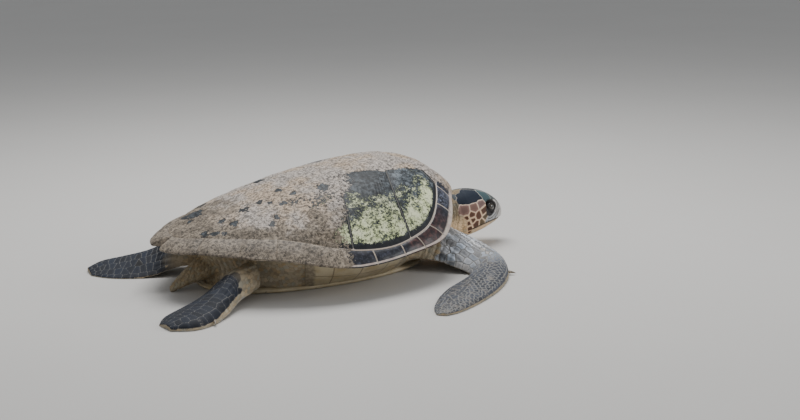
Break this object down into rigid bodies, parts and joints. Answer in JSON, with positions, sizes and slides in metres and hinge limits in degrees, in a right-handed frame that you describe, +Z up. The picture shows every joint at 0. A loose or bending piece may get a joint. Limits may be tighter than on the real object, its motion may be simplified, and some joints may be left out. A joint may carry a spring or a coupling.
{
  "type": "green turtle, life-size still model",
  "caption": "Adult female green turtle at rest on her plastron, head low and forward, front flippers bent and laid on the floor, hind flippers spread behind.",
  "frame": {"origin": "middle of the turtle's box, on the floor under the plastron", "axes": "+X towards the head, +Y towards the turtle's left side, +Z up"},
  "size_m": [1.399, 1.368, 0.3559],
  "materials": {
    "carapace_scute": "keratin plates, slate to blue-black under a thin cover of green-yellow algae and dried pale sand",
    "marginal_scute": "smooth blue-black to maroon keratin with cream seams and a pale outer edge",
    "plastron_scute": "smooth cream-yellow keratin",
    "head_scale": "large smooth scales, dark blue-black above, red-brown on the cheek, with cream borders",
    "skin": "scaled skin, slate and silver-grey above, cream below, wrinkled on the neck",
    "eye": "wet dark eye",
    "claw": "dull horn"
  },
  "bodies": {
    "root": {"bridge_left": "plastron_scute", "bridge_right": "plastron_scute", "costal_scute_left_1": "carapace_scute", "costal_scute_left_2": "carapace_scute", "costal_scute_left_3": "carapace_scute", "costal_scute_left_4": "carapace_scute", "costal_scute_right_1": "carapace_scute", "costal_scute_right_2": "carapace_scute", "costal_scute_right_3": "carapace_scute", "costal_scute_right_4": "carapace_scute", "eye_left": "eye", "eye_right": "eye", "front_claw_left": "claw", "front_claw_right": "claw", "front_flipper_left": "skin", "front_flipper_right": "skin", "head": "head_scale", "hind_claw_left": "claw", "hind_claw_right": "claw", "hind_flipper_left": "skin", "hind_flipper_right": "skin", "lower_jaw": "head_scale", "marginal_rim_left": "marginal_scute", "marginal_rim_right": "marginal_scute", "neck": "skin", "nuchal_scute": "marginal_scute", "plastron": "plastron_scute", "tail": "skin", "trunk": "skin", "vertebral_scute_1": "carapace_scute", "vertebral_scute_2": "carapace_scute", "vertebral_scute_3": "carapace_scute", "vertebral_scute_4": "carapace_scute", "vertebral_scute_5": "carapace_scute"}
  },
  "joints": []
}
